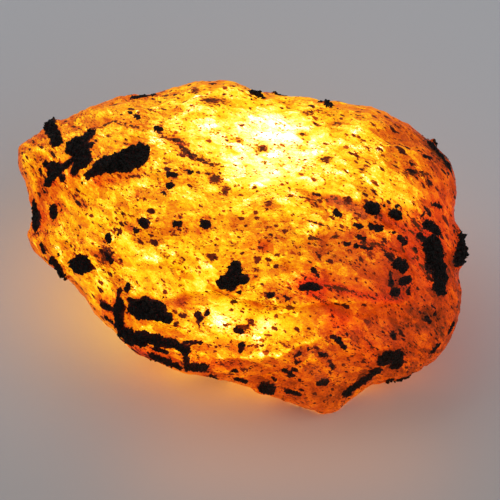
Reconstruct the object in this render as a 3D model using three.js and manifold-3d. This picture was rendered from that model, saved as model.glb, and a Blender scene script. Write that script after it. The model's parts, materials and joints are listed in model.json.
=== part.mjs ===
// A rough sapphire: a weathered lump of yellow-orange corundum, crusted in places with black mica.
// Millimetres, +Z up. The stone lies on its one flat side at Z = 0, with the origin at the centre
// of its box, its long way along X and its broad face turned up and to the front (-Y).
import * as THREE from "three";
import { ImprovedNoise } from "three/addons/math/ImprovedNoise.js";
import { mergeVertices } from "three/addons/utils/BufferGeometryUtils.js";
import Module from "manifold-3d";

// ---- Driving dimensions ----
const REST_DEPTH = 11.6; // from the stone's middle down to the flat side it lies on
const BROAD_FACE_RISE = 50; // degrees that the broad face looks up from the ground, to the front
const RIM_ALLOWANCE = 0.2; // that swells and crust add to the girdle
const DRAWN_FROM = 0.35; // share of the way out from which the skin is drawn out to the girdle
const CALM_RIM = [1, 5]; // off the girdle, the skin has no swells, and all of them
const EDGE_SHARPNESS = 12; // how crisply two faces meet at an edge
const SKIN_DETAIL = 13; // cuts on each edge of the starting icosahedron
const SWELL_HEIGHT = 0.5; // of the broad swells of the weathered skin
const SWELL_LENGTH = 5.5;
const LAYER_HEIGHT = 0.22; // of the low ribs where the crystal's layers come out
const LAYER_LENGTH = 2.9;
const LAYER_NORMAL = new THREE.Vector3(-0.14, 0.92, 0.36).normalize();
const LEDGE_END = 3; // how far a ledge takes to fade out at each end of its path
const LUMP_PITCH = 0.95; // between two lumps of a stroke, in widths of the stroke
const LUMP_FOOT = 0.45; // how deep a lump's foot is sunk, in its widths
const LUMP_SEED = 41;
const FAR_OUT = 60; // well clear of the stone

const STONE = new THREE.MeshStandardMaterial({ color: 0xe08a1c, roughness: 0.45, metalness: 0 });

const radians = THREE.MathUtils.degToRad;
const smooth = THREE.MathUtils.smoothstep;
const mix = THREE.MathUtils.lerp;
const noise = new ImprovedNoise();

// A geometry with its corners joined, so that it closes.
function joined(geometry) {
  geometry.deleteAttribute("normal");
  geometry.deleteAttribute("uv");
  return mergeVertices(geometry, 1e-5);
}

// The broad face's own directions: across it, up it, and straight out of it.
const across = new THREE.Vector3(1, 0, 0);
const lean = radians(BROAD_FACE_RISE);
const outward = new THREE.Vector3(0, -Math.cos(lean), Math.sin(lean));
const upward = new THREE.Vector3().crossVectors(outward, across);

const onFace = (p) => ({ u: p.dot(across), v: p.dot(upward), w: p.dot(outward) });
const fromFace = (u, v, w) =>
  new THREE.Vector3().addScaledVector(across, u).addScaledVector(upward, v).addScaledVector(outward, w);

// ---- The girdle: the widest line round the stone, seen square to the broad face ----
// From the right end over the top, the left tip and the foot: [across, up].
const GIRDLE = [
  [24.4, 0.0], [24.2, 1.7], [23.9, 3.7], [24.2, 7.6], [23.4, 9.6], [20.8, 12.0], [18.1, 13.8], [15.5, 15.2],
  [11.8, 16.3], [8.5, 16.8], [3.9, 17.2], [2.0, 17.4], [0.4, 18.2], [-1.0, 18.7], [-4.0, 18.8], [-6.7, 18.5],
  [-10.1, 17.3], [-15.8, 16.5], [-20.4, 14.4], [-23.6, 12.5], [-25.3, 10.8], [-24.9, 8.8], [-23.9, 6.0],
  [-23.5, 3.2], [-24.1, 1.4], [-23.7, -0.4], [-20.9, -2.9], [-18.4, -5.0], [-16.6, -7.6], [-14.6, -9.6],
  [-11.5, -12.3], [-7.4, -13.8], [-3.4, -14.8], [1.5, -16.2], [6.2, -17.7], [9.5, -18.7], [10.9, -18.1],
  [13.7, -16.2], [17.9, -14.8], [21.5, -13.0], [23.4, -10.4], [24.5, -6.8], [24.5, -4.6], [24.3, -2.6],
];

// Values known at some angles round the girdle, read off in a straight line at any other angle.
function roundReading(known) {
  const turn = 2 * Math.PI;
  known.sort((a, b) => a.angle - b.angle);
  const [first, last] = [known[0], known[known.length - 1]];
  const all = [{ ...last, angle: last.angle - turn }, ...known, { ...first, angle: first.angle + turn }];
  return (angle, key) => {
    const next = Math.max(1, all.findIndex((k) => k.angle > angle));
    const [a, b] = [all[next - 1], all[next]];
    return mix(a[key], b[key], (angle - a.angle) / (b.angle - a.angle || 1));
  };
}

// How far the girdle is from the middle, by angle in its plane.
const girdle = roundReading(
  new THREE.CatmullRomCurve3(GIRDLE.map(([x, y]) => new THREE.Vector3(x, y, 0)), true)
    .getPoints(GIRDLE.length * 8)
    .map((p) => ({ angle: Math.atan2(p.y, p.x), far: Math.hypot(p.x, p.y) - RIM_ALLOWANCE })),
);

// ---- The faces: which way each looks, and how far it lies from the middle ----
// Degrees round from +X, and degrees up from the ground.
const FACES = [
  { name: "table", round: -90, rise: 81, far: 12.9 },
  { name: "brow", round: -88, rise: 46, far: 12.4 },
  { name: "breast", round: -92, rise: 27, far: 12.6 },
  { name: "front foot", round: -84, rise: -4, far: 15.6 },
  { name: "left shoulder", round: 219, rise: 45, far: 15.8 },
  { name: "left front", round: 229, rise: -3, far: 16.6 },
  { name: "left tip", round: 192, rise: 2, far: 24.2 },
  { name: "upper left", round: 149, rise: 62, far: 18.0 },
  { name: "upper right", round: 10, rise: 66, far: 17.6 },
  { name: "right shoulder", round: -58, rise: 44, far: 14.9 },
  { name: "right end", round: -15, rise: 22, far: 23.6 },
  { name: "right front", round: -50, rise: 0, far: 21.6 },
  { name: "back top", round: 84, rise: 46, far: 18.6 },
  { name: "back", round: 98, rise: 4, far: 18.2 },
  { name: "back right", round: 44, rise: 8, far: 22.6 },
  { name: "back left", round: 139, rise: 6, far: 22.4 },
  { name: "under back", round: 86, rise: -44, far: 14.6 },
  { name: "under right", round: 10, rise: -42, far: 18.2 },
  { name: "under left", round: 178, rise: -42, far: 16.4 },
  { name: "under front left", round: 230, rise: -42, far: 14.8 },
  { name: "under front", round: -90, rise: -62, far: 15.6 },
];

function direction(round, rise) {
  const [turn, tilt] = [radians(round), radians(rise)];
  return new THREE.Vector3(Math.cos(turn) * Math.cos(tilt), Math.sin(turn) * Math.cos(tilt), Math.sin(tilt));
}

for (const face of FACES) face.normal = direction(face.round, face.rise);

// How far the faces let a ray from the middle run, with the edges between them rounded.
function reach(ray) {
  let crowding = 0;
  for (const { normal, far } of FACES) {
    crowding += (Math.max(0, normal.dot(ray)) / far) ** EDGE_SHARPNESS;
  }
  return crowding ** (-1 / EDGE_SHARPNESS);
}

// The outline that the faces alone would give the stone, and how high it stands out of the girdle's plane.
const facesOutline = roundReading(Array.from({ length: 180 }, (_, k) => {
  const angle = radians(2 * k - 179);
  const widest = { angle, far: 0, w: 0 };
  for (let rise = -50; rise <= 50; rise += 2) {
    const flat = Math.cos(radians(rise));
    const w = Math.sin(radians(rise));
    const far = reach(fromFace(flat * Math.cos(angle), flat * Math.sin(angle), w));
    if (far * flat > widest.far) Object.assign(widest, { far: far * flat, w: far * w });
  }
  return widest;
}));

// ---- Relief of the broad face: ledges that drop on the right of their path, and a valley ----
const LEDGES = [
  {
    name: "breast ledge", drop: 1.1, edge: 0.9, run: 6.0,
    path: [[-4.6, -3.6], [-2.7, -4.8], [-0.9, -5.4], [2.7, -6.3], [5.9, -6.4], [12.0, -6.0], [18.6, -6.3]],
  },
  {
    name: "small bright ledge", drop: 0.55, edge: 0.7, run: 2.6,
    path: [[8.2, 5.9], [12.0, 5.2], [16.4, 4.4]],
  },
  {
    name: "left ledge", drop: 0.45, edge: 0.8, run: 3.0,
    path: [[-18.6, 6.6], [-14.0, 7.6], [-9.6, 9.2]],
  },
];
const VALLEYS = [
  { name: "foot valley", drop: 1.5, wide: 1.7, path: [[11.2, -18.2], [13.8, -14.7], [18.0, -10.8]] },
  { name: "left crack", drop: 0.6, wide: 1.1, path: [[-13.4, -4.6], [-13.0, -7.0], [-13.2, -9.4]] },
];

// The nearest point of a path to (u, v): how far, which side (+1 on the right), and how near an end.
function besidePath(path, u, v) {
  let nearest = { far: Infinity };
  path.slice(1).forEach(([x1, y1], i) => {
    const [x0, y0] = path[i];
    const [dx, dy] = [x1 - x0, y1 - y0];
    const t = THREE.MathUtils.clamp(((u - x0) * dx + (v - y0) * dy) / (dx * dx + dy * dy), 0, 1);
    const far = Math.hypot(u - x0 - t * dx, v - y0 - t * dy);
    const side = Math.sign((u - x0) * dy - (v - y0) * dx);
    if (far < nearest.far) nearest = { far, side };
  });
  const ends = [path[0], path[path.length - 1]].map(([x, y]) => Math.hypot(u - x, v - y));
  return { ...nearest, end: Math.min(...ends) };
}

// How far the broad face stands below its plain form at (u, v).
function sunk(u, v) {
  let depth = 0;
  for (const { path, drop, edge, run } of LEDGES) {
    const { far, side, end } = besidePath(path, u, v);
    const foot = smooth(far, 0, edge) * (1 - smooth(far, run * 0.3, run));
    if (side > 0) depth += drop * foot * smooth(end, 0, LEDGE_END);
  }
  for (const { path, drop, wide } of VALLEYS) {
    depth += drop * (1 - smooth(besidePath(path, u, v).far, 0, wide));
  }
  return depth;
}

// ---- The stone's skin: a ball's points run out to the faces, then drawn out sideways to the girdle ----
function makeSkin() {
  const skin = joined(new THREE.IcosahedronGeometry(1, SKIN_DETAIL));
  const position = skin.getAttribute("position");
  const ray = new THREE.Vector3();
  for (let i = 0; i < position.count; i++) {
    ray.fromBufferAttribute(position, i).normalize();
    const { u, v, w } = onFace(ray.clone().multiplyScalar(reach(ray)));
    const angle = Math.atan2(v, u);
    const outline = facesOutline(angle, "far");
    const near = smooth(Math.hypot(u, v) / outline, DRAWN_FROM, 1);
    const draw = mix(1, girdle(angle, "far") / outline, near);
    const point = fromFace(u * draw, v * draw, w);

    const offGirdle = smooth(Math.abs(w - facesOutline(angle, "w")), ...CALM_RIM);
    const at = point.clone().divideScalar(SWELL_LENGTH);
    const swell = noise.noise(at.x, at.y, at.z) + 0.5 * noise.noise(2 * at.x + 9, 2 * at.y, 2 * at.z);
    const layer = point.dot(LAYER_NORMAL) / LAYER_LENGTH + 0.6 * noise.noise(at.x + 4, at.y + 7, at.z);
    const rib = Math.abs(layer - Math.floor(layer) - 0.5) * 4 - 1;
    const lift = (SWELL_HEIGHT * swell + LAYER_HEIGHT * rib) * offGirdle;
    point.addScaledVector(ray, lift).addScaledVector(outward, -sunk(u * draw, v * draw) * smooth(w, 0, 4));
    position.setXYZ(i, point.x, point.y, point.z);
  }
  return skin;
}

// ---- Black mica crust: strokes of small lumps along [across, up] paths on the broad face ----
const CRUST = [
  { wide: 1.7, proud: 0.8, path: [[-21.7, 13.9], [-20.9, 11.8]] },
  { wide: 1.4, proud: 0.5, path: [[-16.5, 12.4], [-18.3, 10.9], [-17.8, 9.4], [-18.3, 8.5], [-21.5, 6.9]] },
  { wide: 1.7, proud: 0.6, path: [[-17.0, 8.2], [-15.8, 8.7], [-14.3, 9.4], [-12.5, 10.1], [-10.6, 11.0]] },
  { wide: 0.9, proud: 0.3, path: [[-7.8, 7.7], [-8.0, 6.5]] },
  { wide: 1.3, proud: 0.4, path: [[-23.1, 4.6], [-22.9, 2.4]] },
  { wide: 1.2, proud: 0.4, path: [[-20.6, -2.0], [-20.4, -3.1]] },
  { wide: 2.0, proud: 0.5, path: [[-18.1, -2.4], [-17.4, -1.9]] },
  { wide: 1.3, proud: 0.35, path: [[-14.7, -0.3], [-14.7, -1.6]] },
  { wide: 2.0, proud: 0.6, path: [[-1.0, -2.7], [-2.0, -3.9]] },
  { wide: 1.6, proud: 0.5, path: [[-0.2, -3.1], [-0.6, -3.6]] },
  { wide: 1.2, proud: 0.4, path: [[-12.5, -4.6], [-13.4, -4.9]] },
  { wide: 2.4, proud: 0.9, path: [[-11.9, -6.5], [-10.2, -6.9], [-8.4, -7.7]] },
  { wide: 1.2, proud: 0.5, path: [[-13.3, -6.0], [-13.6, -9.0]] },
  {
    wide: 1.3, proud: 0.5,
    path: [
      [-13.3, -10.5], [-11.2, -9.6], [-9.1, -9.9], [-7.3, -10.5], [-6.2, -11.8], [-5.8, -13.2], [-4.5, -13.3],
    ],
  },
  { wide: 1.2, proud: 0.4, path: [[-10.0, -11.8], [-8.2, -13.0]] },
  { wide: 1.5, proud: 0.4, path: [[-0.3, -9.3], [-0.1, -9.5]] },
  { wide: 2.0, proud: 0.8, path: [[2.2, -15.9], [3.3, -15.5]] },
  { wide: 1.2, proud: 0.35, path: [[8.6, -15.1], [9.0, -15.0]] },
  { wide: 1.0, proud: 0.35, path: [[6.4, -4.5], [7.9, -4.3]] },
  { wide: 1.8, proud: 0.5, path: [[14.0, 4.1], [14.7, 4.0]] },
  { wide: 1.6, proud: 0.5, path: [[16.6, 3.4], [17.2, 3.2]] },
  { wide: 1.1, proud: 0.35, path: [[13.8, 2.0], [15.3, 2.0], [16.9, 1.2]] },
  { wide: 0.9, proud: 0.3, path: [[12.3, 2.3], [12.5, 1.1]] },
  { wide: 1.9, proud: 0.6, path: [[21.2, 0.0], [21.6, -2.0], [22.0, -3.2], [21.4, -4.7]] },
  { wide: 1.7, proud: 0.7, path: [[24.2, 1.5], [24.5, -0.2], [24.3, -1.7]] },
  { wide: 2.0, proud: 0.6, path: [[17.0, -1.8], [17.4, -2.3]] },
  { wide: 1.0, proud: 0.35, path: [[14.9, -0.8], [15.8, -1.1]] },
  { wide: 1.4, proud: 0.45, path: [[16.5, -5.0], [17.7, -4.3], [18.1, -3.4]] },
  { wide: 1.2, proud: 0.4, path: [[20.9, -6.9], [20.4, -8.2]] },
  { wide: 1.1, proud: 0.4, path: [[9.7, -10.0], [11.1, -11.0], [11.9, -11.6]] },
  { wide: 1.1, proud: 0.35, path: [[5.5, -12.2], [6.3, -12.1]] },
  { wide: 1.4, proud: 0.6, path: [[16.4, -12.2], [14.7, -13.6], [13.8, -14.7], [11.5, -16.2]] },
  { wide: 1.2, proud: 0.4, path: [[21.2, -11.4], [21.7, -11.0]] },
  { wide: 1.4, proud: 0.5, path: [[1.2, 17.0], [1.9, 16.9]] },
];
// Short strokes on the sides turned from the broad face: degrees round, degrees up.
const HIDDEN_CRUST = [
  [60, 8], [76, 32], [88, -14], [101, 16], [114, 44], [126, -6], [136, 26], [152, 4], [160, -26], [172, 24],
  [40, -20], [26, 14], [50, 38], [-4, -32], [-34, -24], [200, -22], [232, -30],
];

let seed = LUMP_SEED;
const random = (low, high) => mix(low, high, THREE.MathUtils.seededRandom(seed++));

// One lump: an angular block of mica, lying along `run` with its foot sunk in the skin at `spot`.
function makeLump(spot, normal, run, long, wide, proud) {
  const lump = joined(new THREE.IcosahedronGeometry(1, 0));
  lump.rotateX(random(0, 3)).rotateY(random(0, 3)).rotateZ(random(0, 3));
  const position = lump.getAttribute("position");
  for (let i = 0; i < position.count; i++) {
    const chip = random(0.84, 1.12);
    position.setXYZ(i, position.getX(i) * chip, position.getY(i) * chip, position.getZ(i) * chip);
  }
  const foot = LUMP_FOOT * wide;
  lump.scale(0.5 * long, 0.5 * wide, 0.5 * (proud + foot));
  const side = new THREE.Vector3().crossVectors(normal, run).normalize();
  const along = new THREE.Vector3().crossVectors(side, normal);
  lump.applyMatrix4(new THREE.Matrix4().makeBasis(along, side, normal));
  const middle = spot.clone().addScaledVector(normal, (proud - foot) / 2);
  return lump.translate(middle.x, middle.y, middle.z);
}

// Where a ray comes down on the skin, and the way the skin looks there.
function seat(skinMesh, from, towards) {
  const [hit] = new THREE.Raycaster(from, towards).intersectObject(skinMesh);
  return hit && { spot: hit.point, normal: hit.face.normal };
}

// The seat under (u, v) of the broad face, or as far out as the stone still reaches.
function seatOnFace(skinMesh, u, v) {
  for (let pull = 1; pull > 0.8; pull -= 0.015) {
    const found = seat(skinMesh, fromFace(u * pull, v * pull, FAR_OUT), outward.clone().negate());
    if (found) return found;
  }
  throw new Error(`no skin under ${u}, ${v}`);
}

function makeLumps(skin) {
  const skinMesh = new THREE.Mesh(skin);
  const lumps = [];
  for (const { path, wide, proud } of CRUST) {
    for (let i = 1; i < path.length; i++) {
      const [[u0, v0], [u1, v1]] = [path[i - 1], path[i]];
      const length = Math.hypot(u1 - u0, v1 - v0);
      const steps = Math.max(1, Math.round(length / (wide * LUMP_PITCH)));
      const run = fromFace(u1 - u0, v1 - v0, 0);
      for (let k = i === 1 ? 0 : 1; k <= steps; k++) { // a later piece's first lump is already there
        const part = k / steps;
        const { spot, normal } = seatOnFace(skinMesh, u0 + (u1 - u0) * part, v0 + (v1 - v0) * part);
        const long = 1.05 * wide + (0.8 * length) / steps;
        lumps.push(makeLump(spot, normal, run, long, wide * random(1.0, 1.25), proud * random(0.75, 1.15)));
      }
    }
  }
  for (const [round, rise] of HIDDEN_CRUST) {
    const run = new THREE.Vector3(random(-1, 1), random(-1, 1), random(-1, 1));
    for (let k = 0; k < 2; k++) {
      const ray = direction(round + random(-4, 4), rise + random(-4, 4));
      const { spot, normal } = seat(skinMesh, ray.clone().multiplyScalar(FAR_OUT), ray.clone().negate());
      lumps.push(makeLump(spot, normal, run, random(2.2, 4.0), random(1.4, 2.4), random(0.3, 0.6)));
    }
  }
  return lumps;
}

// ---- Grow skin and crust into one stone, and cut the flat side it lies on ----
const wasm = await Module();
wasm.setup();

const toSolid = (geometry) => new wasm.Manifold(new wasm.Mesh({
  numProp: 3,
  vertProperties: new Float32Array(geometry.getAttribute("position").array),
  triVerts: new Uint32Array(geometry.index.array),
}));

function toGeometry(solid) {
  const mesh = solid.getMesh();
  const geometry = new THREE.BufferGeometry();
  geometry.setAttribute("position", new THREE.BufferAttribute(new Float32Array(mesh.vertProperties), 3));
  geometry.setIndex(new THREE.BufferAttribute(new Uint32Array(mesh.triVerts), 1));
  return geometry;
}

const skin = makeSkin();
let solid = toSolid(skin);
for (const lump of makeLumps(skin)) solid = solid.add(toSolid(lump));
const ground = joined(new THREE.BoxGeometry(2 * FAR_OUT, 2 * FAR_OUT, FAR_OUT));
solid = solid.subtract(toSolid(ground.translate(0, 0, -FAR_OUT / 2 - REST_DEPTH)));

const stone = toGeometry(solid);
stone.computeBoundingBox();
const { min, max } = stone.boundingBox;
stone.translate(-(min.x + max.x) / 2, -(min.y + max.y) / 2, -min.z);
stone.computeVertexNormals();

const mesh = new THREE.Mesh(stone, STONE);
mesh.name = "rough_sapphire";

const group = new THREE.Group();
group.add(mesh);
export default group;
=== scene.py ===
# %% [markdown]
# # A rough sapphire, lit from inside
# The real thing is one weathered lump of yellow-orange corundum, 50 mm long, with black mica grown
# into its skin. A small torch behind it makes the whole lump glow. The bare CAD stone comes in as a
# fixed frame, and every piece of this lesson is dressed round it.

# %% Load the frame
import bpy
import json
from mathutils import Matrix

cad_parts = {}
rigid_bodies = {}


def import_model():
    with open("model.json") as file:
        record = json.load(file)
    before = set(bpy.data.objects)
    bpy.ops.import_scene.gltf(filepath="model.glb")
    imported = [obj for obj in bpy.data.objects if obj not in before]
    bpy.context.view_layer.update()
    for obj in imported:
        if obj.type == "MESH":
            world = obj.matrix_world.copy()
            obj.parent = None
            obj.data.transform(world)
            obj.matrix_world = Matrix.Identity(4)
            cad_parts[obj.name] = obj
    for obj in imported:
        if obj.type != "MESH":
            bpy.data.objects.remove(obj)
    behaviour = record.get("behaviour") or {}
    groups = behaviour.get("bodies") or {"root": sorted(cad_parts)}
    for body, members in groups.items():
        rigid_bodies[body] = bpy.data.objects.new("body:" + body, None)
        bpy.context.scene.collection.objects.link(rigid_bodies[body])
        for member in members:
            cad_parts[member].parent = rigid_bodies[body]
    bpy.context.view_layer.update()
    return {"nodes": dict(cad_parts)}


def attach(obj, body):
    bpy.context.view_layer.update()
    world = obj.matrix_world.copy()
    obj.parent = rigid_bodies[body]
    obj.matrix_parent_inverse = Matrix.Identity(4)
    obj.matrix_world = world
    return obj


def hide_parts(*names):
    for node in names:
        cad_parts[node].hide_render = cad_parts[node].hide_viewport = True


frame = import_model()

# %% [markdown]
# ## Directions on the stone
# The broad face of the stone looks up and to the front, 50 degrees above the ground. Everything on
# the skin is placed by how far it lies across that face and up it, as a collector would point it
# out. The other way is to give plain X, Y and Z for each mark, but then the marks float off the skin
# as soon as the stone is reshaped. The work is done in millimetres and scaled to metres at the end.

# %% The broad face's own directions
import functools
import json
import math
import bpy
import numpy as np
from mathutils import Matrix, Vector, noise
from mathutils.bvhtree import BVHTree

MM = 0.001
MIDDLE = Vector((0.077, -1.116, 11.6))
BROAD_FACE_RISE = math.radians(50)
ACROSS = Vector((1, 0, 0))
OUTWARD = Vector((0, -math.cos(BROAD_FACE_RISE), math.sin(BROAD_FACE_RISE)))
UPWARD = OUTWARD.cross(ACROSS)
FACE_AXES = np.array([ACROSS, UPWARD, OUTWARD])


def from_face(across, up, out=0.0):
    return MIDDLE + across * ACROSS + up * UPWARD + out * OUTWARD


# %% [markdown]
# ## Camera
# The camera looks square at the broad face through a long lens, as for a specimen on a table. A
# shorter lens would swell the near side of so small a stone.

# %% Camera
LENS_MM = 200.0
SENSOR_MM = 36.0
VIEW_WIDTH = 56.0
VIEW_CENTRE = (0.784, -0.448)

camera_data = bpy.data.cameras.new("specimen camera")
camera_data.lens = LENS_MM
camera_data.sensor_width = SENSOR_MM
camera = bpy.data.objects.new("specimen camera", camera_data)
bpy.context.scene.collection.objects.link(camera)
distance = VIEW_WIDTH * LENS_MM / SENSOR_MM
camera.location = from_face(*VIEW_CENTRE, distance) * MM
camera.rotation_euler = (-OUTWARD).to_track_quat("-Z", "Y").to_euler()
bpy.context.scene.camera = camera
print("camera stands", round(distance), "mm off")

# %% [markdown]
# ## The body
# The CAD stone has the right form, but its triangles are 2 mm wide. A voxel remesh turns it into
# even quads of a quarter of a millimetre, fine enough to carve ledges, grooves and grains into.
# Subdividing would do the same only where the triangles are even to begin with. A light smoothing
# takes the triangle edges off, as water and gravel did on the real lump.

# %% Remesh the CAD stone
VOXEL = 0.255
WEAR_PASSES = 14


def plain_mesh(thing, name):
    """The thing's mesh with all its modifiers carried out, as a new mesh."""
    graph = bpy.context.evaluated_depsgraph_get()
    mesh = bpy.data.meshes.new_from_object(thing.evaluated_get(graph), depsgraph=graph)
    mesh.name = name
    return mesh


def add_object(name, mesh):
    thing = bpy.data.objects.new(name, mesh)
    bpy.context.scene.collection.objects.link(thing)
    return thing


rough = add_object("rough copy", frame["nodes"]["rough_sapphire"].data.copy())
rough.data.transform(Matrix.Scale(1 / MM, 4))
weld = rough.modifiers.new("weld", "WELD")
weld.merge_threshold = 0.001
remesh = rough.modifiers.new("even quads", "REMESH")
remesh.mode = "VOXEL"
remesh.voxel_size = VOXEL
wear = rough.modifiers.new("wear", "SMOOTH")
wear.factor = 0.5
wear.iterations = WEAR_PASSES
body = plain_mesh(rough, "sapphire_stone")
bpy.data.objects.remove(rough)
print("body:", len(body.vertices), "points,", len(body.polygons), "faces")

# %% [markdown]
# ## Reading and writing points by the thousand
# A loop over 80,000 points in Python is slow, so the points are handled as numpy arrays. Blender
# hands them over with `foreach_get` and takes them back with `foreach_set`.

# %% Points as arrays
def points_of(mesh):
    values = np.empty(len(mesh.vertices) * 3)
    mesh.vertices.foreach_get("co", values)
    return values.reshape(-1, 3)


def normals_of(mesh):
    values = np.empty(len(mesh.vertices) * 3)
    mesh.vertex_normals.foreach_get("vector", values)
    return values.reshape(-1, 3)


def smoothstep(x, low, high):
    t = np.clip((x - low) / (high - low), 0, 1)
    return t * t * (3 - 2 * t)


def lumps(points, size, offset=0.0):
    """Smooth noise from -1 to 1 at each point; size is the width of one lump."""
    return np.array([noise.noise(Vector(p)) for p in points / size + offset])


skin = points_of(body)
skin_normals = normals_of(body)
face_places = (skin - np.array(MIDDLE)) @ FACE_AXES.T
print("skin spans", (skin.max(0) - skin.min(0)).round(1), "mm")

# %% [markdown]
# ## Finding the skin under a mark
# Marks are listed as [across, up] on the broad face. A ray shot square at the face finds the skin
# there. Near the rim a ray can pass the stone, so the mark is pulled in a little until it hits.

# %% Seats for the marks
FAR_OUT = 60.0
PULL = 0.01
MOST_PULLS = 20
NO_DISTANCE = 99.0
skin_tree = BVHTree.FromPolygons(
    [Vector(p) for p in skin], [tuple(face.vertices) for face in body.polygons]
)


def seat(across, up):
    """The skin under a mark on the broad face."""
    for step in range(MOST_PULLS):
        pull = 1 - PULL * step
        spot = skin_tree.ray_cast(from_face(across * pull, up * pull, FAR_OUT), -OUTWARD)[0]
        if spot:
            return spot
    raise ValueError(f"no skin under {across}, {up}")


def seats_along(path, pitch=0.3):
    """Points on the skin under a path, a pitch apart."""
    spots = []
    for (x0, y0), (x1, y1) in zip(path, path[1:] or path):
        steps = max(1, round(math.hypot(x1 - x0, y1 - y0) / pitch))
        for k in range(steps + 1):
            spots.append(seat(x0 + (x1 - x0) * k / steps, y0 + (y1 - y0) * k / steps))
    return np.array(spots)


def distance_to(spots, points, within):
    """How far each point is from the nearest of the spots, looked at only within a reach."""
    far = np.full(len(points), NO_DISTANCE)
    near_box = np.all((points > spots.min(0) - within) & (points < spots.max(0) + within), axis=1)
    near = np.flatnonzero(near_box)
    for spot in spots:
        far[near] = np.minimum(far[near], np.linalg.norm(points[near] - spot, axis=1))
    return far


# %% [markdown]
# ## The layers
# Rough corundum like this is made of thin layers, and its flecks, veils and small steps all run
# along them. One number says how high in the pile of layers a point lies. It rises up the face and
# bends with it, so that the patterns flow instead of standing square.

# %% How high in the layers
LAYER_TILT = 0.15
LAYER_BEND = 0.0006
LAYER_DIP = -0.12
LAYER_WAVE = 0.8


def layer_places(places):
    across, up, out = places.T
    height = up + LAYER_TILT * across + LAYER_BEND * across**3 + LAYER_DIP * out
    return np.stack([across, height, out], axis=1)


layers = layer_places(face_places)
layers[:, 1] += LAYER_WAVE * lumps(skin, 7.0, 3.0)
print("layers span", layers[:, 1].min().round(1), "to", layers[:, 1].max().round(1), "mm")

# %% [markdown]
# ## Where the mica sits
# The black mica grew into the skin as patches, bars and crumbs. Each one is listed as a stroke on the
# broad face, and the CAD stone has its lumps along the same strokes. A painted mask would be the
# other way, but strokes can be moved one by one and keep their real size.

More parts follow.
